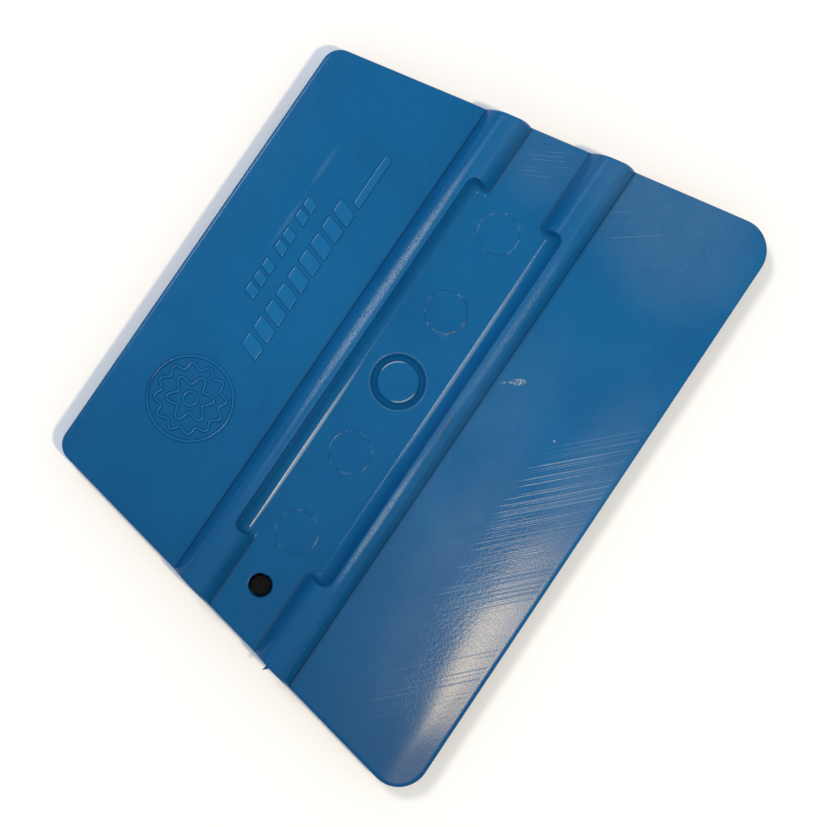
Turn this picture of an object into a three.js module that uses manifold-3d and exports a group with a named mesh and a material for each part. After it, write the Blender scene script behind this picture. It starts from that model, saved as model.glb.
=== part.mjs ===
// Hand squeegee for pressing down adhesive film. It is one moulding: a trapezoidal plate with a
// straight blade along its long edge and another along its short edge, and across its middle a handle
// of rounded ribs, the same on both faces, with a finger recess hollowed between them. A small black
// disc magnet sits at the bottom of a blind bore in one end of the handle web.
//
// Frame, in millimetres: +X runs along the ribs, +Y towards the short edge and +Z up out of the face
// with the bore. The origin is under the middle of the plate, at the height of the lower rib crests.

import * as THREE from "three";
import { mergeVertices } from "three/addons/utils/BufferGeometryUtils.js";
import Module from "manifold-3d";

const wasm = await Module();
wasm.setup();

// Outline seen from above, to its sharp corners, and the radii that round them
const LONG_EDGE = 100;
const SHORT_EDGE = 70;
const DEPTH = 70;
const LONG_CORNER_RADIUS = 4.6;
const SHORT_CORNER_RADIUS = 2.8;

// Thicknesses, all shared equally between the two faces
const THICKNESS = 9;
const WEB_THICKNESS = 3.2;
const BLADE_ROOT_THICKNESS = 2.6;
const BLADE_THICKNESS = 2;
const LAND_THICKNESS = 1.45;
const EDGE_THICKNESS = 0.95;

// Distance from the blade edge at which the blade and its land begin to thin down
const BLADE_BEND = 9;
const LAND_BEND = 3.3;

// Ribs: a rounded section with a narrow flat crest, on which the tool rests
const RIB_CENTRE = 8;
const RIB_WIDTH = 7;
const CREST_WIDTH = 1;
const RIB_POWER = 2.5;
const RIB_STEPS = 10;

// Finger recess: its size at the crests, and how far its coves reach in from the rim at the floor
const RECESS_LENGTH = 60.7;
const RECESS_WIDTH = 16.2;
const RECESS_CORNER_RADIUS = 1.3;
const SIDE_COVE_REACH = 2.4;
const END_COVE_REACH = 1.1;
const COVE_STEPS = 8;
const COVE_TOP = 0.95; // share of a quarter ellipse that a cove uses, so that its top keeps draft

// Round groove about the centre of the upper face
const GROOVE_INNER_RADIUS = 2.95;
const GROOVE_OUTER_RADIUS = 4.1;
const GROOVE_DEPTH = 0.95;
const GROOVE_FLOOR_WIDTH = 0.25;

// Magnet and its blind bore
const MAGNET_X = -35.1;
const MAGNET_RADIUS = 1.45;
const MAGNET_HEIGHT = 1;
const MAGNET_CHAMFER = 0.18;
const BORE_RADIUS = 1.75;
const BORE_DEPTH = 2.5;
const GAP = 0.3;

const OVERSHOOT = 2; // how far a cutter stands out of what it cuts
const ARC_STEPS = 8;
const ROUND_STEPS = 48;

const MID_HEIGHT = THICKNESS / 2;
const WEB_TOP = MID_HEIGHT + WEB_THICKNESS / 2;

const ALONG_X = new THREE.Vector3(1, 0, 0);
const ALONG_Y = new THREE.Vector3(0, 1, 0);
const ALONG_Z = new THREE.Vector3(0, 0, 1);

const bluePlastic = new THREE.MeshStandardMaterial({ color: 0x1b5e93, roughness: 0.45, metalness: 0 });
const blackCoating = new THREE.MeshStandardMaterial({ color: 0x131216, roughness: 0.4, metalness: 0 });

// A closed three.js geometry as a manifold solid, and a solid as a geometry.
function solid(geometry) {
  const bare = geometry.clone();
  bare.deleteAttribute("normal");
  bare.deleteAttribute("uv");
  const merged = mergeVertices(bare, 1e-5);
  return new wasm.Manifold(
    new wasm.Mesh({
      numProp: 3,
      vertProperties: new Float32Array(merged.attributes.position.array),
      triVerts: new Uint32Array(merged.index.array),
    }),
  );
}

function geometryOf(made) {
  const mesh = made.getMesh();
  const geometry = new THREE.BufferGeometry();
  geometry.setAttribute("position", new THREE.BufferAttribute(mesh.vertProperties, 3));
  geometry.setIndex(new THREE.BufferAttribute(mesh.triVerts, 1));
  geometry.computeVertexNormals();
  return geometry;
}

// Extrudes a flat outline by the given length, evenly about the plane in which it is drawn. across and
// up are the directions that the outline's own x and y take.
function prism(outline, length, across, up) {
  const geometry = new THREE.ExtrudeGeometry(outline, {
    depth: length,
    bevelEnabled: false,
    curveSegments: ARC_STEPS,
  });
  geometry.translate(0, 0, -length / 2);
  const forward = new THREE.Vector3().crossVectors(across, up);
  geometry.applyMatrix4(new THREE.Matrix4().makeBasis(across, up, forward));
  return geometry;
}

// A closed outline through corners that are given anticlockwise as [x, y, radius].
function roundedOutline(corners) {
  const shape = new THREE.Shape();
  corners.forEach(([x, y, radius], i) => {
    const before = corners[(i + corners.length - 1) % corners.length];
    const after = corners[(i + 1) % corners.length];
    const here = new THREE.Vector2(x, y);
    const back = new THREE.Vector2(before[0] - x, before[1] - y).normalize();
    const ahead = new THREE.Vector2(after[0] - x, after[1] - y).normalize();
    const halfAngle = Math.acos(back.dot(ahead)) / 2;
    const middle = back.clone().add(ahead).normalize();
    const centre = here.clone().addScaledVector(middle, radius / Math.sin(halfAngle));
    const outward = Math.atan2(-middle.y, -middle.x);
    const halfTurn = Math.PI / 2 - halfAngle;
    shape.absarc(centre.x, centre.y, radius, outward - halfTurn, outward + halfTurn, false);
  });
  return shape;
}

// The plate's outline from above.
function plateOutline() {
  return roundedOutline([
    [-LONG_EDGE / 2, -DEPTH / 2, LONG_CORNER_RADIUS],
    [LONG_EDGE / 2, -DEPTH / 2, LONG_CORNER_RADIUS],
    [SHORT_EDGE / 2, DEPTH / 2, SHORT_CORNER_RADIUS],
    [-SHORT_EDGE / 2, DEPTH / 2, SHORT_CORNER_RADIUS],
  ]);
}

// Points of one quarter of the section, as [distance from the centreline, height over mid-plane],
// from the middle of the web out to the blade edge. A rib falls from the edge of its flat crest with
// the power RIB_POWER of the distance, and stops where it meets the web or the blade.
function quarterSection() {
  const rootHeight = BLADE_ROOT_THICKNESS / 2;
  const webHeight = WEB_THICKNESS / 2;
  const crestRise = THICKNESS / 2 - rootHeight;
  const crestHalf = CREST_WIDTH / 2;
  const flank = [];
  for (let i = 0; i <= RIB_STEPS; i++) {
    const share = Math.sin(((Math.PI / 2) * i) / RIB_STEPS);
    flank.push([
      crestHalf + share * (RIB_WIDTH / 2 - crestHalf),
      rootHeight + crestRise * (1 - share ** RIB_POWER),
    ]);
  }
  const inner = flank.filter(([, height]) => height > webHeight).reverse();
  const footShare = ((THICKNESS / 2 - webHeight) / crestRise) ** (1 / RIB_POWER);
  const foot = crestHalf + footShare * (RIB_WIDTH / 2 - crestHalf);
  return [
    [0, webHeight],
    [RIB_CENTRE - foot, webHeight],
    ...inner.map(([offset, height]) => [RIB_CENTRE - offset, height]),
    ...flank.map(([offset, height]) => [RIB_CENTRE + offset, height]),
    [DEPTH / 2 - BLADE_BEND, BLADE_THICKNESS / 2],
    [DEPTH / 2 - LAND_BEND, LAND_THICKNESS / 2],
    [DEPTH / 2, EDGE_THICKNESS / 2],
  ];
}

// The whole section across the ribs, from which the plate is cut.
function plateSection() {
  const quarter = quarterSection();
  const rest = quarter.slice(1);
  const upper = [
    ...rest.toReversed(),
    quarter[0],
    ...rest.map(([y, z]) => [-y, z]),
  ];
  const lower = upper.map(([y, z]) => [-y, -z]);
  return new THREE.Shape([...upper, ...lower].map(([y, z]) => new THREE.Vector2(y, z)));
}

// A trough's section: a flat floor that curves up on each side as a quarter ellipse to its rim.
function troughSection(rimHalfWidth, reach, floor, rim) {
  const depth = rim - floor;
  const footHalfWidth = rimHalfWidth - reach;
  const rise = (share) => 1 - Math.sqrt(1 - share * share);
  const side = [];
  for (let i = 0; i <= COVE_STEPS; i++) {
    const share = COVE_TOP * Math.sin(((Math.PI / 2) * i) / COVE_STEPS);
    side.push([
      footHalfWidth + (reach * share) / COVE_TOP,
      floor + (depth * rise(share)) / rise(COVE_TOP),
    ]);
  }
  side.push([rimHalfWidth, rim + OVERSHOOT]);
  const other = side.map(([across, up]) => [-across, up]).reverse();
  return new THREE.Shape([...side, ...other].map(([across, up]) => new THREE.Vector2(across, up)));
}

// What is cut away for a finger recess on the upper face, about mid-plane.
function recessCutter() {
  const floor = WEB_THICKNESS / 2;
  const rim = THICKNESS / 2;
  const halfLength = RECESS_LENGTH / 2;
  const halfWidth = RECESS_WIDTH / 2;
  const plan = roundedOutline([
    [-halfLength, -halfWidth, RECESS_CORNER_RADIUS],
    [halfLength, -halfWidth, RECESS_CORNER_RADIUS],
    [halfLength, halfWidth, RECESS_CORNER_RADIUS],
    [-halfLength, halfWidth, RECESS_CORNER_RADIUS],
  ]);
  const sides = troughSection(halfWidth, SIDE_COVE_REACH, floor, rim);
  const ends = troughSection(halfLength, END_COVE_REACH, floor, rim);
  return solid(prism(plan, 2 * (rim + OVERSHOOT), ALONG_X, ALONG_Y))
    .intersect(solid(prism(sides, RECESS_LENGTH + OVERSHOOT, ALONG_Y, ALONG_Z)))
    .intersect(solid(prism(ends, RECESS_WIDTH + OVERSHOOT, ALONG_X, ALONG_Z)));
}

// A solid of revolution about a vertical axis through the origin, from [radius, height] points that
// run up its outer side.
function turned(profile) {
  const points = profile.map(([radius, height]) => new THREE.Vector2(radius, height));
  const geometry = new THREE.LatheGeometry(points, ROUND_STEPS);
  geometry.rotateX(Math.PI / 2);
  return geometry;
}

function grooveCutter() {
  const middle = (GROOVE_INNER_RADIUS + GROOVE_OUTER_RADIUS) / 2;
  const geometry = turned([
    [GROOVE_INNER_RADIUS, OVERSHOOT],
    [GROOVE_INNER_RADIUS, 0],
    [middle - GROOVE_FLOOR_WIDTH / 2, -GROOVE_DEPTH],
    [middle + GROOVE_FLOOR_WIDTH / 2, -GROOVE_DEPTH],
    [GROOVE_OUTER_RADIUS, 0],
    [GROOVE_OUTER_RADIUS, OVERSHOOT],
    [GROOVE_INNER_RADIUS, OVERSHOOT],
  ]);
  geometry.translate(0, 0, WEB_TOP);
  return solid(geometry);
}

function boreCutter() {
  const geometry = new THREE.CylinderGeometry(
    BORE_RADIUS,
    BORE_RADIUS,
    BORE_DEPTH + OVERSHOOT,
    ROUND_STEPS,
  );
  geometry.rotateX(Math.PI / 2);
  geometry.translate(MAGNET_X, 0, WEB_TOP - BORE_DEPTH + (BORE_DEPTH + OVERSHOOT) / 2);
  return solid(geometry);
}

function squeegeeBody() {
  const blank = solid(prism(plateOutline(), THICKNESS + OVERSHOOT, ALONG_X, ALONG_Y));
  const section = solid(prism(plateSection(), LONG_EDGE + OVERSHOOT, ALONG_Y, ALONG_Z));
  const recess = recessCutter();
  const made = blank
    .intersect(section)
    .subtract(recess)
    .subtract(recess.rotate([180, 0, 0]))
    .translate([0, 0, MID_HEIGHT])
    .subtract(grooveCutter())
    .subtract(boreCutter());
  const mesh = new THREE.Mesh(geometryOf(made), bluePlastic);
  mesh.name = "squeegee_body";
  return mesh;
}

function discMagnet() {
  const geometry = turned([
    [0, 0],
    [MAGNET_RADIUS - MAGNET_CHAMFER, 0],
    [MAGNET_RADIUS, MAGNET_CHAMFER],
    [MAGNET_RADIUS, MAGNET_HEIGHT - MAGNET_CHAMFER],
    [MAGNET_RADIUS - MAGNET_CHAMFER, MAGNET_HEIGHT],
    [0, MAGNET_HEIGHT],
  ]);
  const mesh = new THREE.Mesh(geometry, blackCoating);
  mesh.name = "disc_magnet";
  mesh.position.set(MAGNET_X, 0, WEB_TOP - BORE_DEPTH + GAP);
  return mesh;
}

const squeegee = new THREE.Group();
squeegee.add(squeegeeBody());
squeegee.add(discMagnet());

export default squeegee;
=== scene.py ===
"""A blue moulded hand squeegee for adhesive film: the fine surface of the moulding and of the small
magnet in its web, their plastic and coating, and a soft studio set round them.

Shapes are worked out in millimetres, in the frame of the CAD part, and turned into metres when a
mesh is made. Heights are counted from mid-plane, the level halfway between the two faces."""

import math

import bpy
import numpy as np
from mathutils import Matrix, Vector


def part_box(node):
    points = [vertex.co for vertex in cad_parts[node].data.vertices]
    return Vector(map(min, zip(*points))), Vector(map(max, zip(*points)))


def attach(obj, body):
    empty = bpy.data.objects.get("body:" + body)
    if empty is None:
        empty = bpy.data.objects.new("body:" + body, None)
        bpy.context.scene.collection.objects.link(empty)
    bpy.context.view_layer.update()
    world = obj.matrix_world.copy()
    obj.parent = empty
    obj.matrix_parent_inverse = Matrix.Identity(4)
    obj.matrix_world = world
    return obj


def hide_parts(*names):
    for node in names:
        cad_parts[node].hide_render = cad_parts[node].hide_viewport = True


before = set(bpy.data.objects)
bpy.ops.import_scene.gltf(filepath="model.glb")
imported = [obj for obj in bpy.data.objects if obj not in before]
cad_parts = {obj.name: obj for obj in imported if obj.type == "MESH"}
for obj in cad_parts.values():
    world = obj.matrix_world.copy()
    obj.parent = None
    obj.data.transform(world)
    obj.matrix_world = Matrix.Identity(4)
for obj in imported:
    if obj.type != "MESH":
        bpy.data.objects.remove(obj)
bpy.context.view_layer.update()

MM = 0.001
BODY_LOW, BODY_HIGH = (np.array(corner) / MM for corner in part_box("squeegee_body"))
MAGNET_LOW, MAGNET_HIGH = (np.array(corner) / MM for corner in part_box("disc_magnet"))

# Plan of the plate. The flash of the parting line stands out of every side, inside the CAD box.
THICKNESS = BODY_HIGH[2] - BODY_LOW[2]
MID_LEVEL = (BODY_HIGH[2] + BODY_LOW[2]) / 2
DEPTH = BODY_HIGH[1] - BODY_LOW[1]
LONG_EDGE = 100
SHORT_EDGE = 70
FLASH = 0.04
SIDE_SLOPE = (LONG_EDGE - SHORT_EDGE) / 2 / DEPTH
SIDE_TILT = math.atan(SIDE_SLOPE)
HALF_DEPTH = DEPTH / 2 - FLASH
HALF_LENGTH = (LONG_EDGE + SHORT_EDGE) / 4 - FLASH / math.cos(SIDE_TILT)
LONG_CORNER = 4.6
SHORT_CORNER = 2.8

# Section across the ribs. The web and the blade's root are heights over mid-plane. A bend starts
# and ends at the first place by the magnet, and at the second away from it; it changes between the
# two x of BEND_TURNS.
WEB = 1.6
BLADE_ROOT = 1.3
BLADE_SLOPE = 0.0215
BLADE_BEND = 0.068
BEND_START = (29.3, 23.5)
BEND_END = (32.3, 34.5)
BEND_TURNS = (-42, -18)
RIB_CENTRE = 8
RIB_HALF = 3.5
CREST_HALF = 0.5
RIB_POWER = 2.5
RIB_FILLET = 0.08

# Round along the outline, wider at the long edge, and the rings of points down the side under it:
# how far out each stands, and its height
EDGE_ROUND = 0.45
LONG_EDGE_EXTRA = 0.1
SIDE_RINGS = ((0, 0.09), (FLASH, 0.025), (FLASH, -0.025), (0, -0.09))

# Shrinkage waves: height, turn for each millimetre along x and along y, and the turn at the origin
WAVES = ((0.010, 0.21, 0.13, 0.4), (0.009, 0.11, -0.33, 1.9), (0.005, 0.52, 0.41, 4.1))
WAVES_TOP = 0.024

# Finger recess: half length, half width and corner radius, at its foot and at its rim
FOOT = (29.25, 5.7, 0.4)
RIM = (30.35, 8.1, 1.3)
COVE_TOP = 0.95
RIM_FILLET = 0.5

# Round marks along the middle of the upper face
GROOVE = (2.95, 4.1)
GROOVE_DEPTH = 0.95
GROOVE_SLOPE = 2.1
GROOVE_FOOT = 0.25
GROOVE_RIM = 0.26
PIN_PLACES = (-25.9, -12.2, 12.2, 25.9)
PIN_RADIUS = 3.1
PIN_LINE = 0.05
PIN_STEPS = (0.02, -0.02, 0.045, -0.03)
PIN_FLASH = (0.02, 0.02, 0.05, 0.035)
BORE_RADIUS = 1.75
BORE_DEPTH = 2.5
BORE_ROUND = 0.12
MAGNET_CENTRE = (MAGNET_LOW[0] + MAGNET_HIGH[0]) / 2
MAGNET_RIM = 0.2
MAGNET_DISH = 0.02

# Raised marks
MEDALLION_CENTRE = (-18.7, 23.2)
BEAD_WIDTH = 0.5
BEAD_HEIGHT = 0.26
BEAD_SUNK = 0.1
BLOCK_SLANT = 0.3
BLOCK_SQUARENESS = 0.15
BLOCK_STEPS = ((0, -BEAD_SUNK), (0, 0.12), (0.05, 0.2), (0.13, 0.25), (0.3, 0.27))

# Torn hook on a rib's end
BURR_Y = -7.4
BURR_LEVEL = 1.9
BURR_LENGTH = 1.15
BURR_RADIUS = 0.42
BURR_ROOT = 0.25


def smooth_min(a, b, radius):
    """The lesser of a and b, with a parabola in place of the corner where they differ by less than
    radius."""
    share = np.clip(0.5 + 0.5 * (b - a) / radius, 0, 1)
    return b + (a - b) * share - radius * share * (1 - share)


def smooth_max(a, b, radius):
    """The greater of a and b, with the same parabola."""
    return -smooth_min(-a, -b, radius)


def ease(value, start, end):
    """0 before start, 1 past end, and between them a cubic that is level at both."""
    share = np.clip((value - start) / (end - start), 0, 1)
    return share * share * (3 - 2 * share)


def corner(radius, y):
    """(centre x, centre y, radius) of the arc that rounds the right-hand corner beside y."""
    centre_y = math.copysign(HALF_DEPTH - radius, y)
    centre_x = HALF_LENGTH - centre_y * SIDE_SLOPE - radius / math.cos(SIDE_TILT)
    return centre_x, centre_y, radius


CORNERS = (corner(LONG_CORNER, -DEPTH), corner(SHORT_CORNER, DEPTH))


def half_width(y):
    """Half the plate's width at y: the slanted side's, or the corner arc's past the point where the
    two touch."""
    width = HALF_LENGTH - y * SIDE_SLOPE
    for centre_x, centre_y, radius in CORNERS:
        touch = centre_y + radius * math.sin(SIDE_TILT)
        on_arc = (y - touch) * centre_y > 0
        arc = centre_x + np.sqrt(np.clip(radius**2 - (y - centre_y) ** 2, 0, None))
        width = np.where(on_arc, arc, width)
    return width


def edge_distance(x, y):
    """How far a point lies inside the outline. In a corner, between the normals of the two edges
    that meet there, it is the radius less the distance from the arc's centre."""
    x = np.abs(x)
    side = (HALF_LENGTH - y * SIDE_SLOPE - x) * math.cos(SIDE_TILT)
    distance = np.minimum(side, HALF_DEPTH - np.abs(y))
    for centre_x, centre_y, radius in CORNERS:
        turn = (y - centre_y) * math.cos(SIDE_TILT) - (x - centre_x) * math.sin(SIDE_TILT)
        in_corner = (turn * centre_y > 0) & (x > centre_x)
        arc = radius - np.hypot(x - centre_x, y - centre_y)
        distance = np.where(in_corner, arc, distance)
    return np.clip(distance, 0, None)


def plate_height(x, y):
    """Level across the web, a straight taper along the blade from under the rib, and near the edge
    a bend whose slope grows as an eased step from its start to its end. The bend is tight at the
    magnet's end and long elsewhere, as the moulding has warped."""
    y = np.abs(y)
    blade = BLADE_ROOT - BLADE_SLOPE * (y - RIB_CENTRE - RIB_HALF)
    turn = ease(x, *BEND_TURNS)
    start, end = (a + (b - a) * turn for a, b in (BEND_START, BEND_END))
    share = np.clip((y - start) / (end - start), 0, 1)
    drop = (end - start) * (share**3 - share**4 / 2) + np.clip(y - end, 0, None)
    blade = blade - BLADE_BEND * drop
    return np.where(y < RIB_CENTRE, WEB, blade)


def rib_height(y):
    """A flat crest, and past it a fall with the power RIB_POWER of the distance."""
    offset = np.abs(np.abs(y) - RIB_CENTRE)
    share = np.clip((offset - CREST_HALF) / (RIB_HALF - CREST_HALF), 0, 1.6)
    return BLADE_ROOT + (THICKNESS / 2 - BLADE_ROOT) * (1 - share**RIB_POWER)


def cove_share(x, y):
    """How far up the recess wall a point stands, from 0 at the foot to 1 at the rim. The wall is a
    stack of rounded rectangles that grow evenly from FOOT to RIM, and the share of the one through
    the point is found by halving."""
    low = np.zeros_like(x)
    high = np.full_like(x, 1.5)
    for _ in range(24):
        share = (low + high) / 2
        half_x, half_y, radius = (foot + (rim - foot) * share for foot, rim in zip(FOOT, RIM))
        past_x = np.abs(x) - half_x + radius
        past_y = np.abs(y) - half_y + radius
        corner_part = np.hypot(np.clip(past_x, 0, None), np.clip(past_y, 0, None))
        outside = corner_part + np.minimum(np.maximum(past_x, past_y), 0) > radius
        low = np.where(outside, share, low)
        high = np.where(outside, high, share)
    return (low + high) / 2


def cove_height(share):
    """A quarter ellipse up from the web, of which COVE_TOP is used at the rim, and the same slope
    carried on past the rim."""
    climb = 1 - np.sqrt(1 - np.clip(COVE_TOP * share, 0, COVE_TOP) ** 2)
    full = 1 - math.sqrt(1 - COVE_TOP**2)
    slope = (THICKNESS / 2 - WEB) * COVE_TOP**2 / math.sqrt(1 - COVE_TOP**2) / full
    return WEB + (THICKNESS / 2 - WEB) * climb / full + slope * np.clip(share - 1, 0, None)


def waviness(x, y):
    """The uneven shrinkage of a moulding: long, shallow sines, set down by the sum of their heights
    so that they only take away."""
    sines = [
        height * np.sin(along * x + across * y + start)
        for height, along, across, start in WAVES
    ]
    return sum(sines) - WAVES_TOP


def face_height(x, y):
    """Either face of the moulding without its marks: web, blades and ribs joined with small
    fillets, less the finger recess, less a quarter-ellipse round along the outline."""
    top = smooth_max(plate_height(x, y), rib_height(y), RIB_FILLET)
    share = cove_share(x, y)
    height = smooth_min(top, cove_height(share), 1e-6 + RIM_FILLET * ease(share, 0.4, 0.9))
    height = height + waviness(x, y)
    width = EDGE_ROUND + LONG_EDGE_EXTRA * ease(-y, 33, 34.2)
    depth = np.minimum(EDGE_ROUND, 0.5 * height)
    part = np.clip(1 - edge_distance(x, y) / width, 0, 1)
    return height - depth * (1 - np.sqrt(1 - part**2))


def mark_height(x, y):
    """The round marks of the upper face: a groove with sloping walls and eased rims at the middle,
    the bore, and for each ejector pin a small step with a broken line of flash on it."""
    radius = np.hypot(x, y)
    walls = np.minimum(radius - GROOVE[0], GROOVE[1] - radius) * GROOVE_SLOPE
    height = -smooth_max(smooth_min(walls, GROOVE_DEPTH, GROOVE_FOOT), 0, GROOVE_RIM)
    for number, (place, step, flash) in enumerate(zip(PIN_PLACES, PIN_STEPS, PIN_FLASH)):
        radius = np.hypot(x - place, y)
        angle = np.arctan2(y, x - place)
        broken = 0.55 + 0.35 * np.sin(3 * angle + 1.7 * number) + 0.3 * np.sin(7 * angle + number)
        line = np.exp(-(((radius - PIN_RADIUS) / PIN_LINE) ** 2))
        inside = 1 - ease(radius, PIN_RADIUS - PIN_LINE, PIN_RADIUS + PIN_LINE)
        height = height + step * inside + flash * np.clip(broken, 0, 1) * line
    radius = np.hypot(x - MAGNET_CENTRE, y)
    part = np.clip(1 - (radius - BORE_RADIUS) / BORE_ROUND, 0, 1)
    rounded = -BORE_ROUND * (1 - np.sqrt(1 - part**2))
    return height + np.where(radius < BORE_RADIUS - 0.01, -BORE_DEPTH, rounded)


def grid_lines(spacing, *features):
    """Every feature's own lines, and even steps of about the spacing between one and the next."""
    lines = [np.asarray(features[0], float)]
    for feature in features[1:]:
        start, end = lines[-1][-1], feature[0]
        steps = max(1, round((end - start) / spacing))
        lines.append(np.linspace(start, end, steps + 1)[1:-1])
        lines.append(np.asarray(feature, float))
    return np.concatenate(lines)


def about(centre, distances):
    """Lines at each distance on both sides of the centre."""
    distances = np.asarray(distances, float)
    return centre + np.unique(np.concatenate([-distances, distances]))


def edge_lines(reach, steps):
    """Distances in from an edge, closer towards it, as equal turns of a quarter circle give
    them."""
    return reach * (1 - np.cos(np.linspace(0, math.pi / 2, steps + 1)))


# Radii of the grid's rings on the round marks, close together where the height turns
BORE_RINGS = (0, 0.5, 1.0, 1.35, 1.6, 1.72, 1.75, 1.79, 1.84, 1.91)
PIN_RINGS = (0, 0.6, 1.2, 1.8, 2.4, 2.85, 3.0, 3.05, 3.1, 3.15, 3.2)
GROOVE_RINGS = (0, 0.5, 1.0, 1.5, 2.0, 2.4, 2.7, 2.82, 2.89, 2.95, 3.0, 3.05, 3.12, 3.3)
GROOVE_RINGS += (3.6, 3.8, 3.93, 4.0, 4.05, 4.1, 4.16, 4.24, 4.4)

# Of each round mark: its centre, and the distances between which the rings turn to squares
ROUND_MARKS = (
    (0, 4.4, 5.4),
    (MAGNET_CENTRE, 2.0, 3.2),
    *((place, 3.2, 4.0) for place in PIN_PLACES),
)

# Half length of the part of the grid whose columns stay straight, and how much it loses
# towards the edges
STRAIGHT = 31.3
STRAIGHT_LOSS = 22


def sheet(columns, rows, marks=()):
    """A grid over the plan. Lines of x are straight in the middle and fan out to meet the outline,
    and round each mark the squares of the grid are drawn in to circles: a point at (u, v) from the
    mark's centre goes to the distance that is the greater of u and v."""
    x, y = np.meshgrid(columns, rows)
    straight = STRAIGHT - STRAIGHT_LOSS * ease(np.abs(y), 12, 30)
    spread = (half_width(y) - straight) / (HALF_LENGTH - straight)
    fanned = np.sign(x) * (straight + (np.abs(x) - straight) * spread)
    new_x = np.where(np.abs(x) < straight, x, fanned)
    new_y = y.copy()
    for centre, start, end in marks:
        u, v = x - centre, y
        square = np.maximum(np.abs(u), np.abs(v))
        weight = 1 - ease(square, start, end)
        scale = square / np.clip(np.hypot(u, v), 1e-9, None)
        new_x += weight * (centre + u * scale - new_x)
        new_y += weight * (v * scale - new_y)
    return new_x, new_y


def upper_sheet():
    """The fine grid of the upper face, with rings round every mark."""
    rows = np.unique(np.concatenate([BORE_RINGS, GROOVE_RINGS[5:-1], PIN_RINGS[6:]]))
    half_rows = grid_lines(
        0.24,
        rows,
        (4.4, 4.48, 4.54, 4.62, 4.9, 5.3, 5.7),
        (7.9, 7.98, 8.03, 8.08, 8.13, 8.2, 8.3, 8.45),
        (11.34, 11.42, 11.48, 11.54, 11.64, 11.8),
    )
    rows = grid_lines(
        0.8,
        edge_lines(LONG_CORNER, 17) - HALF_DEPTH,
        -half_rows[::-1],
        half_rows[1:],
        HALF_DEPTH - edge_lines(SHORT_CORNER, 14)[::-1],
    )
    recess_end = (29.4, 29.6, 29.8, 30.0, 30.14, 30.23, 30.3, 30.36, 30.42, 30.51, 30.7)
    end = edge_lines(0.9, 9)
    pins = [about(place, PIN_RINGS) for place in PIN_PLACES]
    columns = grid_lines(
        0.55,
        end - HALF_LENGTH,
        about(MAGNET_CENTRE, BORE_RINGS),
        -np.array(recess_end)[::-1],
        *pins[:2],
        about(0, GROOVE_RINGS),
        *pins[2:],
        recess_end,
        HALF_LENGTH - end[::-1],
    )
    x, y = sheet(columns, rows, ROUND_MARKS)
    return x, y, face_height(x, y) + mark_height(x, y)


def lower_sheet():
    """The lower face: the same ribs, recess and blades, without the marks."""
    half_rows = grid_lines(
        0.3,
        (0, 1.5, 3.0, 4.3, 4.42, 4.52, 4.65, 5.1, 5.7),
        (7.9, 8.0, 8.07, 8.15, 8.3),
        (11.34, 11.46, 11.56, 11.75),
    )
    rows = grid_lines(
        1.6,
        edge_lines(LONG_CORNER, 12) - HALF_DEPTH,
        -half_rows[::-1],
        half_rows[1:],
        HALF_DEPTH - edge_lines(SHORT_CORNER, 10)[::-1],
    )
    recess_end = (29.25, 29.6, 29.9, 30.15, 30.28, 30.38, 30.55)
    end = edge_lines(0.9, 6)
    columns = grid_lines(
        1.3,
        end - HALF_LENGTH,
        -np.array(recess_end)[::-1],
        recess_end,
        HALF_LENGTH - end[::-1],
    )
    x, y = sheet(columns, rows)
    return x, y, -face_height(x, y)


def grid_faces(shape, first=0):
    """The quads of a grid of that many rows and columns, counterclockwise."""
    number = first + np.arange(shape[0] * shape[1]).reshape(shape)
    corners = (number[:-1, :-1], number[:-1, 1:], number[1:, 1:], number[1:, :-1])
    return np.stack([part.ravel() for part in corners], axis=1)


def border(shape, first=0):
    """The numbers of a grid's outermost points, counterclockwise from its first."""
    number = first + np.arange(shape[0] * shape[1]).reshape(shape)
    return np.concatenate(
        [number[0, :-1], number[:-1, -1], number[-1, :0:-1], number[:0:-1, 0]]
    )


def around_share(points):
    """How far round a closed loop each of its points lies, as a share of the whole way."""
    steps = np.linalg.norm(np.roll(points, -1, axis=0) - points, axis=1)
    return np.concatenate([[0], np.cumsum(steps)[:-1]]) / steps.sum()


def bridge(upper, lower, upper_share, lower_share):
    """Triangles between two closed loops with different numbers of points. Each edge of one loop is
    joined to the point of the other that lies nearest round, by share of the way."""
    def middles(share):
        """Halfway from each point to the next."""
        return (share + np.append(share[1:], 1)) / 2

    upper_middle, lower_middle = middles(upper_share), middles(lower_share)
    reached_lower = np.searchsorted(lower_middle, upper_middle) % len(lower)
    reached_upper = np.searchsorted(upper_middle, lower_middle, side="right") % len(upper)
    down = np.stack([np.roll(upper, -1), upper, lower[reached_lower]], axis=1)
    up = np.stack([lower, np.roll(lower, -1), upper[reached_upper]], axis=1)
    return np.concatenate([down, up])


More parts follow.
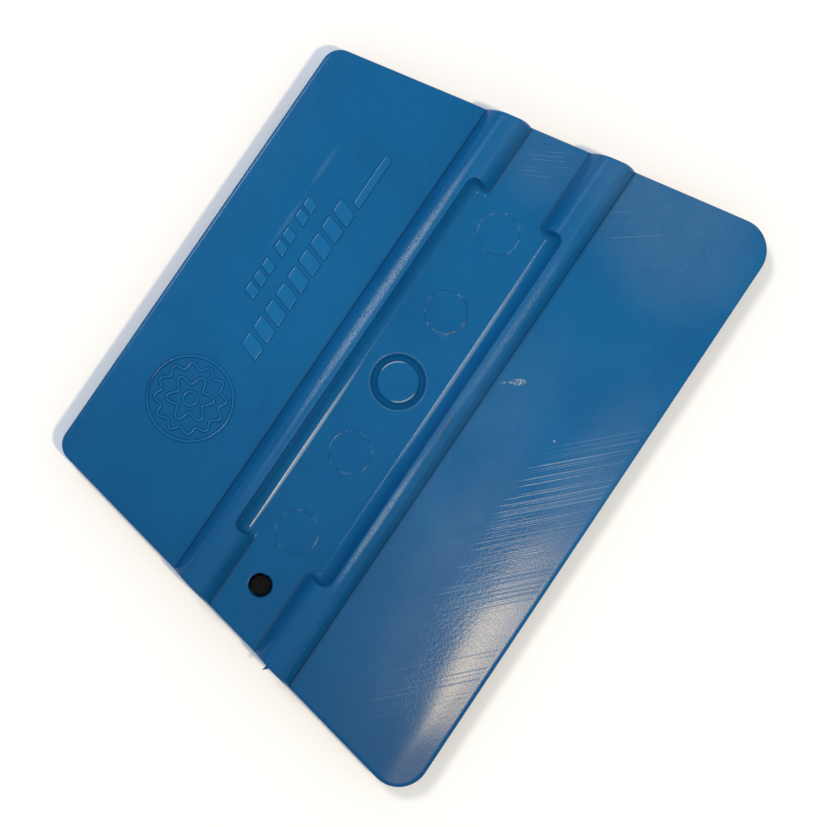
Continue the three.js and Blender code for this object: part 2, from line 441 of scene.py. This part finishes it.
def body_surface():
    """The whole moulding as one closed surface: the two faces, and round them a narrow side with
    the parting line's flash halfway down."""
    upper_x, upper_y, upper_z = upper_sheet()
    lower_x, lower_y, lower_z = lower_sheet()
    upper = np.stack([upper_x, upper_y, upper_z], axis=-1).reshape(-1, 3)
    lower = np.stack([lower_x, lower_y, lower_z], axis=-1).reshape(-1, 3)
    points = [upper, lower]
    faces = [grid_faces(upper_x.shape), grid_faces(lower_x.shape, len(upper))[:, ::-1]]
    loop = border(upper_x.shape)
    low_loop = border(lower_x.shape, len(upper))

    outline = upper[loop][:, :2]
    along = np.roll(outline, -1, axis=0) - np.roll(outline, 1, axis=0)
    outward = np.stack([along[:, 1], -along[:, 0]], axis=1)
    outward /= np.linalg.norm(outward, axis=1, keepdims=True)
    first = len(upper) + len(lower)
    for out, level in SIDE_RINGS:
        ring = np.column_stack([outline + out * outward, np.full(len(loop), level)])
        number = first + np.arange(len(loop))
        faces.append(
            np.stack([loop, number, np.roll(number, -1), np.roll(loop, -1)], axis=1)
        )
        points.append(ring)
        loop = number
        first += len(loop)
    shares = around_share(outline), around_share(lower[low_loop - len(upper)][:, :2])
    return np.concatenate(points), faces, bridge(loop, low_loop, *shares)


def make_piece(name, points, quads, triangles, material, sharp=None):
    """A mesh object from points in millimetres counted from mid-plane, riding on the one body.
    Edges that turn by more than sharp, in degrees, are shaded as corners."""
    mesh = bpy.data.meshes.new(name)
    placed = (points + np.array([0, 0, MID_LEVEL])) * MM
    faces = np.concatenate(quads).tolist() + triangles.tolist()
    mesh.from_pydata(placed.tolist(), [], faces)
    mesh.shade_smooth()
    if sharp:
        mesh.set_sharp_from_angle(angle=math.radians(sharp))
    piece = bpy.data.objects.new(name, mesh)
    bpy.context.scene.collection.objects.link(piece)
    mesh.materials.append(material)
    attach(piece, "root")
    return piece


def capped_tube(rings, ends):
    """A closed surface from rings of points that follow one another, and a point past the first and
    the last: quads between the rings, and a fan of triangles round each of the two points."""
    points = rings.reshape(-1, 3)
    count = rings.shape[1]
    number = np.arange(len(points)).reshape(-1, count)
    after = np.roll(number, -1, axis=1)
    quads = np.stack([number[:-1], number[1:], after[1:], after[:-1]], axis=-1).reshape(-1, 4)
    first = np.stack([np.full(count, len(points)), number[0], after[0]], axis=1)
    last = np.stack([np.full(count, len(points) + 1), after[-1], number[-1]], axis=1)
    return np.concatenate([points, ends]), [quads], np.concatenate([first, last])


def magnet_surface():
    """A disc turned from half its section: level faces with a dished centre, a rounded rim, and a
    straight side. Each ring goes round it, and the rings follow the section from the top down."""
    radius = (MAGNET_HIGH[0] - MAGNET_LOW[0]) / 2
    half = (MAGNET_HIGH[2] - MAGNET_LOW[2]) / 2
    rim = MAGNET_RIM
    turn = np.linspace(0, math.pi / 2, 7)
    flat = np.linspace(0, radius - rim, 9)[1:]
    dished = half - MAGNET_DISH * (1 - (flat / flat[-1]) ** 4)
    reach = np.concatenate([flat, radius - rim + rim * np.sin(turn[1:])])
    level = np.concatenate([dished, half - rim + rim * np.cos(turn[1:])])
    reach = np.concatenate([reach, reach[::-1]])
    level = np.concatenate([level, -level[::-1]])
    angle = np.linspace(0, 2 * math.pi, 96, endpoint=False)
    x = MAGNET_CENTRE + reach[:, None] * np.cos(angle)
    y = reach[:, None] * np.sin(angle)
    z = np.repeat(level[:, None], len(angle), axis=1)
    middle = (MAGNET_HIGH[2] + MAGNET_LOW[2]) / 2 - MID_LEVEL
    dish_level = half - MAGNET_DISH
    poles = [[MAGNET_CENTRE, 0, side * dish_level + middle] for side in (1, -1)]
    return capped_tube(np.stack([x, y, z + middle], axis=-1), poles)


def bead(x, y):
    """A low bead along a closed line on the blade: each section is half an ellipse above the face
    and a flat below it, square to the line."""
    along = np.stack([np.roll(x, -1) - np.roll(x, 1), np.roll(y, -1) - np.roll(y, 1)], axis=1)
    along /= np.linalg.norm(along, axis=1, keepdims=True)
    turn = np.linspace(0, math.pi, 9)
    across = np.append(np.cos(turn), (-1, 1)) * BEAD_WIDTH / 2
    rise = np.append(BEAD_HEIGHT * np.sin(turn), (-BEAD_SUNK, -BEAD_SUNK))
    new_x = x[:, None] + along[:, 1:] * across
    new_y = y[:, None] - along[:, :1] * across
    level = face_height(x, y)[:, None] + rise
    points = np.stack([new_x, new_y, level], axis=-1)
    number = np.arange(points.shape[0] * points.shape[1]).reshape(points.shape[:2])
    after, next_round = np.roll(number, -1, axis=0), np.roll(number, -1, axis=1)
    both = np.roll(next_round, -1, axis=0)
    quads = np.stack([number, after, both, next_round], axis=-1).reshape(-1, 4)
    return points.reshape(-1, 3), quads


def slanted_block(centre_x, centre_y, width, height):
    """A solid raised block: rounded parallelograms, each a sheared superellipse, that step in from
    a sunk foot over an eased rim to a flat top. Each step has its inset and its rise."""
    angle = np.linspace(0, 2 * math.pi, 32, endpoint=False)
    c, s = np.cos(angle), np.sin(angle)
    x_share = np.sign(c) * np.abs(c) ** BLOCK_SQUARENESS
    y_share = np.sign(s) * np.abs(s) ** BLOCK_SQUARENESS
    points = []
    for inset, rise in BLOCK_STEPS:
        y = y_share * (height / 2 - inset)
        x = x_share * (width / 2 - inset) + BLOCK_SLANT * y
        x, y = centre_x + x, centre_y + y
        points.append(np.stack([x, y, face_height(x, y) + rise], axis=1))
    points += [points[0].mean(axis=0, keepdims=True), points[-1].mean(axis=0, keepdims=True)]
    points = np.concatenate(points)
    number = np.arange(len(points) - 2).reshape(-1, len(angle))
    after = np.roll(number, -1, axis=1)
    quads = np.stack([number[:-1], after[:-1], after[1:], number[1:]], axis=-1).reshape(-1, 4)
    under = np.stack([np.full(len(angle), len(points) - 2), after[0], number[0]], axis=1)
    top = np.stack([np.full(len(angle), len(points) - 1), number[-1], after[-1]], axis=1)
    return points, quads, np.concatenate([under, top])


def medallion_line(reach, lobes, depth):
    """A circle of that radius, waved in and out by depth in that many lobes."""
    angle = np.linspace(0, 2 * math.pi, 144, endpoint=False)
    radius = reach + depth * np.cos(lobes * angle)
    centre_x, centre_y = MEDALLION_CENTRE
    return centre_x + radius * np.cos(angle), centre_y + radius * np.sin(angle)


def block_row(start, level, height, gap, widths):
    """Blocks of those widths one after another, the first one's left side at start."""
    blocks = []
    for width in widths:
        blocks.append(slanted_block(start + width / 2, level, width, height))
        start += width + gap
    return blocks


def raised_marks():
    """Plain raised marks on the shorter blade: a medallion of waved and round lines, a long row of
    slanted blocks that ends in a low bar, and a short row of three groups."""
    shapes = ((6.1, 0, 0), (4.7, 12, 0.45), (2.7, 6, 0.7), (1.0, 0, 0))
    pieces = [(*bead(*medallion_line(*shape)), np.zeros((0, 3), int)) for shape in shapes]
    pieces += block_row(start=-8.7, level=20.1, height=3.1, gap=0.6, widths=(2.3,) * 9)
    pieces += block_row(start=17.4, level=19.2, height=1.3, gap=0, widths=(8.6,))
    for start, number in ((-1.8, 3), (5.6, 2), (10.9, 2)):
        pieces += block_row(start, level=24.7, height=1.9, gap=0.4, widths=(1.7,) * number)
    points, quads, triangles, first = [], [], [], 0
    for piece_points, piece_quads, piece_triangles in pieces:
        points.append(piece_points)
        quads.append(piece_quads + first)
        triangles.append(piece_triangles + first)
        first += len(piece_points)
    return np.concatenate(points), quads, np.concatenate(triangles)


def rib_burr():
    """A hook of torn plastic on a rib's end: a round section that shrinks to a point along a curved
    line out of the end and down."""
    along = np.linspace(0, 1, 9)[:-1]
    angle = np.linspace(0, 2 * math.pi, 12, endpoint=False)
    start = half_width(np.array(BURR_Y)) - BURR_ROOT
    line_x = -(start + BURR_LENGTH * along)
    line_y = BURR_Y + 0.55 * along**2
    line_z = BURR_LEVEL - 0.35 * along**2
    reach = BURR_RADIUS * (1 - along) ** 0.8
    x = np.repeat(line_x[:, None], len(angle), axis=1)
    y = line_y[:, None] + reach[:, None] * np.cos(angle)
    z = line_z[:, None] + 0.7 * reach[:, None] * np.sin(angle)
    line = np.stack([line_x, line_y, line_z], axis=1)
    tip = line[-1] + np.array([-0.12, 0.12, -0.08])
    return capped_tube(np.stack([x, y, z], axis=-1), [line[0], tip])


class Wire:
    """The output of a node. Arithmetic on it adds a Math node, and a number may stand on either
    side."""

    def __init__(self, finish, socket):
        self.finish = finish
        self.socket = socket

    def maths(self, operation, *values):
        return self.finish.maths(operation, self, *values)

    def __add__(self, other):
        return self.maths("ADD", other)

    def __mul__(self, other):
        return self.maths("MULTIPLY", other)

    def __sub__(self, other):
        return self.maths("SUBTRACT", other)

    def __rsub__(self, other):
        return self.finish.maths("SUBTRACT", other, self)

    def __truediv__(self, other):
        return self.maths("DIVIDE", other)

    __radd__ = __add__
    __rmul__ = __mul__

    def ease(self, start, end):
        """0 before start, 1 past end, smooth between. The end may be below the start."""
        low, high, first, last = (start, end, 0.0, 1.0) if start < end else (end, start, 1.0, 0.0)
        sockets = {0: self, 1: low, 2: high, 3: first, 4: last}
        return self.finish.node("MapRange", {"interpolation_type": "SMOOTHSTEP"}, sockets)


class Finish:
    """A material's nodes. Every node comes from node(): its kind, its settings, then the value or
    the wire of each socket, by name or number."""

    def __init__(self, name):
        self.material = bpy.data.materials.new(name)
        self.material.use_nodes = True
        self.tree = self.material.node_tree
        self.tree.nodes.clear()

    def node(self, kind, settings, sockets, output=0):
        node = self.tree.nodes.new("ShaderNode" + kind)
        for name, value in settings.items():
            setattr(node, name, value)
        for key, value in sockets.items():
            if isinstance(value, Wire):
                self.tree.links.new(value.socket, node.inputs[key])
            else:
                node.inputs[key].default_value = value
        return Wire(self, node.outputs[output]) if node.outputs else None

    def maths(self, operation, *values):
        return self.node("Math", {"operation": operation}, dict(enumerate(values)))

    def place(self):
        """x, y and z in millimetres, on Object coordinates."""
        point = self.node("TexCoord", {}, {}, "Object")
        split = self.node("SeparateXYZ", {}, {0: point})
        return [Wire(self, out) / MM for out in split.socket.node.outputs]

    def join(self, x, y, z=0.0):
        return self.node("CombineXYZ", {}, {0: x, 1: y, 2: z})

    def noise(self, point, scale, detail, roughness):
        sockets = {"Vector": point, "Scale": scale, "Detail": detail, "Roughness": roughness}
        return self.node("TexNoise", {}, sockets)

    def chance(self, *values):
        """Three random numbers from 0 to 1 for each pair of values."""
        point = self.join(*values)
        colour = self.node("TexWhiteNoise", {"noise_dimensions": "2D"}, {"Vector": point}, "Color")
        split = self.node("SeparateColor", {}, {0: colour})
        return [Wire(self, out) for out in split.socket.node.outputs]

    def mix(self, share, first, second):
        """From the first colour to the second."""
        return self.node("Mix", {"data_type": "RGBA"}, {0: share, 6: first, 7: second}, 2)

    def bump(self, height, distance):
        """A normal for heights of 0 to 1 that stand for that many millimetres."""
        sockets = {"Strength": 1.0, "Distance": distance * MM, "Height": height}
        return self.node("Bump", {}, sockets)

    def principled(self, sockets):
        shader = self.node("BsdfPrincipled", {}, sockets)
        self.node("OutputMaterial", {}, {"Surface": shader})
        return self.material


def scratches(finish, x, y, heading, lane, width, run, chance, seed):
    """Straight hairlines along the heading. The plan is cut in lanes, and each lane in runs; random
    numbers say whether a run holds a line, how strong it is and where in the lane it lies."""
    cosine, sine = math.cos(math.radians(heading)), math.sin(math.radians(heading))
    along = x * cosine + y * sine
    across = y * cosine - x * sine
    lane_place = across / lane + seed
    lane_number = lane_place.maths("FLOOR")
    shift, _, _ = finish.chance(lane_number, float(seed))
    run_place = along / run + shift * 7.0
    run_number = run_place.maths("FLOOR")
    present, strength, offset = finish.chance(lane_number, run_number)
    middle = (lane_place.maths("FRACT") - 0.25 - offset * 0.5).maths("ABSOLUTE") * lane
    line = middle.ease(width, width * 0.25)
    share = run_place.maths("FRACT")
    ends = share.ease(0.0, 0.2) * share.ease(1.0, 0.75)
    return line * ends * present.ease(chance + 0.02, chance - 0.02) * (strength * 0.7 + 0.3)


def patch(x, y, centre, reach, heading=0):
    """1 in the middle of an ellipse, fading to 0 at its edge: the ellipse's centre, its two half
    lengths and the heading of the first, in degrees."""
    cosine, sine = math.cos(math.radians(heading)), math.sin(math.radians(heading))
    from_x, from_y = x - centre[0], y - centre[1]
    along = (from_x * cosine + from_y * sine) / reach[0]
    across = (from_y * cosine - from_x * sine) / reach[1]
    return (along * along + across * across).ease(1.0, 0.08)


def patches(x, y, rows):
    """Several patches added up, each with its strength first."""
    parts = [patch(x, y, *shape) * strength for strength, *shape in rows]
    return sum(parts[1:], parts[0])


# Heading of the long scratches, in degrees
SCRATCH_HEADING = -45.5

# Worn and marked places of the plastic, and places of painted highlights: strength, centre, half
# lengths, heading
HAZE = (
    (0.8, (43, -20), (19, 15), 50),
    (0.35, (-4, -15), (28, 9)),
    (0.5, (40, 0.5), (10, 9)),
    (0.5, (-20, -22.5), (24, 8), 8),
    (0.35, (6, -31), (18, 6)),
)
FLECKS = (
    (1.0, (9.9, -14.5), (1.3, 0.55), -55),
    (0.6, (8.9, -13.2), (1.3, 0.2), -55),
    (1.0, (5.7, -23.6), (0.3, 0.22), -50),
)
STREAKS = ((1.0, (10, 26.1), (5, 0.35)), (1.0, (19.6, 26.2), (4.2, 0.45)))
# Painted highlights on the rib crests and along the cove feet
CREST_HIGHLIGHTS = (
    (0.75, (10, 9.3), (26, 0.75)),
    (0.65, (-18, -8.75), (13, 0.5)),
    (0.3, (16, -9.3), (16, 0.5)),
)
COVE_FOOT_HIGHLIGHTS = ((0.9, (-15, 5.82), (16, 0.36)), (0.6, (8, -6.4), (20, 0.34)))
DIRT = (
    (0.9, (10.1, -2.4), (0.4, 0.3), -40),
    (0.5, (12.4, -3.15), (1.6, 0.16)),
    (0.4, (-1.5, -9.0), (3.2, 0.5)),
)
PIN_PALENESS = (0.16, 0.16, 0.5, 0.3)

# Colours of the plastic and of what lies on it, and of painted shade and highlights
DEEP_BLUE = (0.0048, 0.094, 0.252, 1)
OPEN_BLUE = (0.0060, 0.110, 0.282, 1)
MOTTLED_BLUE = (0.010, 0.130, 0.312, 1)
# Painted shade towards the magnet's end
FALLOFF_SHADE_BLUE = (0.0045, 0.052, 0.142, 1)
MARK_TOP_LIT_BLUE = (0.012, 0.15, 0.36, 1)
SCRATCH_PALE = (0.22, 0.33, 0.44, 1)
HAZE_PALE = (0.27, 0.30, 0.30, 1)
FLECK_PALE = (0.42, 0.47, 0.52, 1)
STREAK_PALE = (0.2, 0.32, 0.45, 1)
# Colour of the painted highlights on the crests and cove feet
HIGHLIGHT_PALE = (0.38, 0.46, 0.52, 1)
PIN_PALE = (0.22, 0.33, 0.42, 1)
RIM_HIGHLIGHT_PALE = (0.38, 0.48, 0.55, 1)
SMEAR_DARK = (0.004, 0.05, 0.17, 1)
# Colour of the painted shade in the creases
CREASE_SHADE = (0.002, 0.03, 0.09, 1)
PIN_DARK = (0.004, 0.04, 0.12, 1)
MARK_SIDE_SHADE = (0.002, 0.035, 0.11, 1)
DIRT_BROWN = (0.045, 0.03, 0.015, 1)


def blue_plastic():
    """Blue moulded plastic: a mottled blue, then painted shade, scratches, haze, flecks, rubbed
    streaks, painted highlights, marks and dirt laid on it one after another, with a grain that the
    light picks out."""
    finish = Finish("blue_plastic")
    x, y, z = finish.place()
    point = finish.join(x, y, z)

    cloudy = finish.noise(point, 0.06, 3.0, 0.6)
    mottled = finish.noise(point, 0.9, 3.0, 0.6)
    fine = finish.noise(point, 3.0, 3.0, 0.65)
    blue = finish.mix(cloudy.ease(0.3, 0.7), DEEP_BLUE, OPEN_BLUE)
    blue = finish.mix(mottled.ease(0.35, 0.8) * 0.2, blue, MOTTLED_BLUE)

    # Painted shade: the colour darkens towards the magnet's end, as if the light fell off there
    falloff_shade = x.ease(2.0, -52.0) * 0.62
    blue = finish.mix(falloff_shade, blue, FALLOFF_SHADE_BLUE)

    # Grain of the mould: short strokes and a fine orange peel, coarser in a band of the blade
    stroke_turn = 0.65
    turned_x = x * math.cos(stroke_turn) + y * math.sin(stroke_turn)
    turned_y = y * math.cos(stroke_turn) - x * math.sin(stroke_turn)
    strokes = finish.noise(finish.join(turned_x * 2.2, turned_y * 4.4, z), 1.0, 3.0, 0.65)
    grain = finish.noise(point, 5.0, 2.0, 0.6)

    upper = z.ease(4.4, 4.6)
    leather = finish.noise(point, 2.3, 2.0, 0.5)
    leather = leather * patch(x, y, (-17, -25.6), (30, 4.5), 4) * upper

    # Scratches of use: a fan of long straight ones across the longer blade's edge, and a few others
    heading = SCRATCH_HEADING
    across = y * math.cos(math.radians(heading)) - x * math.sin(math.radians(heading))
    ragged = (y + cloudy * 6.0 + fine * 2.0).ease(-17.5, -21.5) * y.ease(-34.15, -33.8) * upper
    field = scratches(
        finish, x, y, heading, lane=0.78, width=0.12, run=60, chance=0.75, seed=3.5
    )
    hatch = scratches(
        finish, x, y, heading, lane=0.31, width=0.08, run=40, chance=0.6, seed=17.5
    )
    main_fan = across.ease(-36, -31) * across.ease(-12, -17)
    faint_fan = across.ease(-48, -44) * across.ease(-38, -42) * 0.35
    field = (field + hatch * 0.3) * (main_fan + faint_fan) * ragged
    steep = scratches(finish, x, y, -52, lane=0.7, width=0.05, run=11, chance=0.35, seed=11.5)
    steep = steep * patch(x, y, (38, -16), (11, 8)) * upper * 0.3
    end = scratches(finish, x, y, -60, lane=0.6, width=0.05, run=7, chance=0.6, seed=51.5)
    end = end * patch(x, y, (37.5, 0), (5, 5)) * upper * 0.6
    lines = (field + steep + end).maths("MINIMUM", 1.0)
    blue = finish.mix(lines * 0.5, blue, SCRATCH_PALE)

    # Rubbed patches, where fine hairlines have turned the surface hazy
    haze = patches(x, y, HAZE)
    haze = (haze * (cloudy.ease(0.15, 0.8) * 0.7 + fine.ease(0.25, 0.8) * 0.5)) * upper
    blue = finish.mix(haze * 0.16, blue, HAZE_PALE)

    # One torn fleck with a tail, and a small one
    fleck = patches(x, y, FLECKS) * fine.ease(0.42, 0.58) * upper
    blue = finish.mix(fleck * 0.7, blue, FLECK_PALE)

    # Faint rubbed streaks over the marks, and a dark smear under them
    streak = patches(x, y, STREAKS)
    blue = finish.mix(streak * upper * 0.10, blue, STREAK_PALE)
    smear = patch(x, y, (-12.5, 14.4), (4.5, 0.9), 12) * fine.ease(0.4, 0.6)
    blue = finish.mix(smear * upper * 0.3, blue, SMEAR_DARK)

    # Painted highlights: grainy pale bands on the crests and pale lines along the cove feet
    crest = z.ease(8.35, 8.85)
    handled = x.ease(-16, -34)
    painted_highlights = patches(x, y, CREST_HIGHLIGHTS) * (fine * 0.4 + grain * 0.6).ease(0.36, 0.6)
    painted_highlights = (painted_highlights + patches(x, y, COVE_FOOT_HIGHLIGHTS)) * upper
    blue = finish.mix(painted_highlights * 0.5, blue, HIGHLIGHT_PALE)
    # Painted shade: dark lines in the creases at the feet of the ribs
    beside = y.maths("ABSOLUTE")
    outer = (beside - RIB_CENTRE - RIB_HALF).maths("ABSOLUTE").ease(0.28, 0.05)
    inner = (beside - RIB_CENTRE + RIB_HALF).maths("ABSOLUTE").ease(0.28, 0.05)
    inner = inner * x.maths("ABSOLUTE").ease(RIM[0] - 0.6, RIM[0] - 0.2)
    crease_shade = outer + inner
    blue = finish.mix(crease_shade * 0.55, blue, CREASE_SHADE)

    # Each ejector pin's ring, partly pale and partly dark
    for number, (place, paleness) in enumerate(zip(PIN_PLACES, PIN_PALENESS)):
        from_x = x - place
        radius = (from_x * from_x + y * y).maths("SQRT")
        ring = (radius - PIN_RADIUS).maths("ABSOLUTE").ease(0.2, 0.03)
        angle_noise = finish.noise(finish.join(x, y, 7.0 * number), 0.55, 3.0, 0.6)
        pale = ring * angle_noise.ease(0.45, 0.62) * fine.ease(0.3, 0.6) * upper
        dark = ring * angle_noise.ease(0.56, 0.44) * upper
        blue = finish.mix(pale * paleness, blue, PIN_PALE)
        blue = finish.mix(dark * 0.4, blue, PIN_DARK)

    # Painted light and shade on the marks: their tops painted a little lighter, their sides painted
    # dark
    above = z + y * BLADE_SLOPE - MID_LEVEL - BLADE_ROOT - BLADE_SLOPE * (RIB_CENTRE + RIB_HALF)
    on_marks = y.ease(14, 15)
    blue = finish.mix(above.ease(0.12, 0.2) * on_marks * 0.4, blue, MARK_TOP_LIT_BLUE)
    mark_side_shade = above.ease(0.0, 0.03) * above.ease(0.2, 0.13) * on_marks
    blue = finish.mix(mark_side_shade * 0.45, blue, MARK_SIDE_SHADE)

    # Painted highlights on the groove's rims, strongest on the two sides that face the light
    radius = (x * x + y * y).maths("SQRT")
    facing = ((x * 0.62 + y * 0.78) / (radius + 0.01)).maths("ABSOLUTE").ease(0.7, 0.95)
    rim_highlights = (radius - GROOVE[0] + 0.05).maths("ABSOLUTE").ease(0.16, 0.04) * facing
    rim_highlights = rim_highlights + (radius - GROOVE[1] - 0.05).maths("ABSOLUTE").ease(0.12, 0.03) * 0.2
    blue = finish.mix(rim_highlights * upper * 0.6, blue, RIM_HIGHLIGHT_PALE)

    # Dirt at one pin's ring and on one crest
    dirt = patches(x, y, DIRT) * fine.ease(0.35, 0.6) * upper
    blue = finish.mix(dirt * 0.8, blue, DIRT_BROWN)

    rough = 0.165 + crest * (handled * 0.4 + 0.12) + lines * 0.1 + mottled * 0.03
    rough = rough + haze * 0.04 + fleck * 0.3 + crease_shade * 0.4
    relief = strokes * 0.7 + grain * 0.3 + crest * grain * 3.5 + fleck * fine * 6.0 + leather * 1.7
    normal = finish.bump(relief - lines * 2.0, 0.009)
    return finish.principled(
        {
            "Base Color": blue,
            "Roughness": rough,
            "Normal": normal,
            "Specular IOR Level": 0.1,
        }
    )


def black_coating():
    """A thin black coating, slightly worn."""
    finish = Finish("black_coating")
    x, y, z = finish.place()
    point = finish.join(x, y, z)
    fine = finish.noise(point, 6.0, 3.0, 0.6)
    worn = finish.noise(point, 1.7, 2.0, 0.5).ease(0.45, 0.75)
    colour = finish.mix(worn, (0.0028, 0.0026, 0.0036, 1), (0.007, 0.0066, 0.0085, 1))
    rough = 0.4 + fine * 0.15
    normal = finish.bump(fine, 0.01)
    sockets = {"Base Color": colour, "Roughness": rough, "Normal": normal}
    return finish.principled(sockets | {"Specular IOR Level": 0.04})


def pale_floor():
    """A matt, nearly white floor, a little cloudy."""
    finish = Finish("pale_floor")
    x, y, z = finish.place()
    cloudy = finish.noise(finish.join(x, y, z), 0.01, 2.0, 0.5)
    colour = finish.mix(cloudy, (0.93, 0.93, 0.93, 1), (0.96, 0.96, 0.96, 1))
    return finish.principled({"Base Color": colour, "Roughness": 0.9, "Specular IOR Level": 0.0})


plastic = blue_plastic()
coating = black_coating()

body = make_piece("squeegee_moulding", *body_surface(), plastic, 50)
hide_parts("squeegee_body")
magnet = make_piece("web_magnet", *magnet_surface(), coating)
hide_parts("disc_magnet")
marks = make_piece("raised_marks", *raised_marks(), plastic, 60)
burr = make_piece("rib_burr", *rib_burr(), plastic)


def make_floor():
    """A level square well past the view."""
    half = 1.5
    mesh = bpy.data.meshes.new("floor")
    corners = [(-half, -half, 0), (half, -half, 0), (half, half, 0), (-half, half, 0)]
    mesh.from_pydata(corners, [], [(0, 1, 2, 3)])
    mesh.materials.append(pale_floor())
    floor = bpy.data.objects.new("floor", mesh)
    bpy.context.scene.collection.objects.link(floor)


def make_lamp(name, place, size, power, colour):
    """An area lamp at that place, turned to face the object. Its place and its two sides are in
    millimetres."""
    light = bpy.data.lights.new(name, "AREA")
    light.shape = "RECTANGLE"
    light.size, light.size_y = (length * MM for length in size)
    light.energy = power
    light.color = colour
    lamp = bpy.data.objects.new(name, light)
    lamp.location = Vector(place) * MM
    lamp.rotation_euler = lamp.location.to_track_quat("Z", "Y").to_euler()
    bpy.context.scene.collection.objects.link(lamp)


def make_camera():
    """The camera stands almost overhead, and its upward direction lies 34 degrees round from the
    length of the object."""
    data = bpy.data.cameras.new("camera")
    data.lens = 87.9
    data.sensor_width = 36
    data.clip_start = 0.01
    camera = bpy.data.objects.new("camera", data)
    place = Vector((-21.998, 17.047, 294.797)) * MM
    target = Vector((-2.413, -4.484, 4.5)) * MM
    upward = Vector((0.82667, 0.56251, 0.01405))
    forward = (target - place).normalized()
    right = forward.cross(upward).normalized()
    up = right.cross(forward)
    axes = Matrix((right, up, -forward)).transposed()
    camera.matrix_world = Matrix.Translation(place) @ axes.to_4x4()
    bpy.context.scene.collection.objects.link(camera)
    bpy.context.scene.camera = camera


make_floor()
make_lamp(
    "far_lamp", place=(85, 350, 600), size=(130, 130), power=1.75, colour=(1.0, 0.90, 0.82)
)
make_lamp(
    "near_lamp", place=(-32, -225, 600), size=(30, 52), power=1.95, colour=(1.0, 0.78, 0.46)
)
make_camera()

world = bpy.data.worlds.new("studio")
world.use_nodes = True
world.node_tree.nodes["Background"].inputs["Color"].default_value = (0.38, 0.49, 0.62, 1)
bpy.context.scene.world = world
bpy.context.scene.view_settings.view_transform = "Standard"
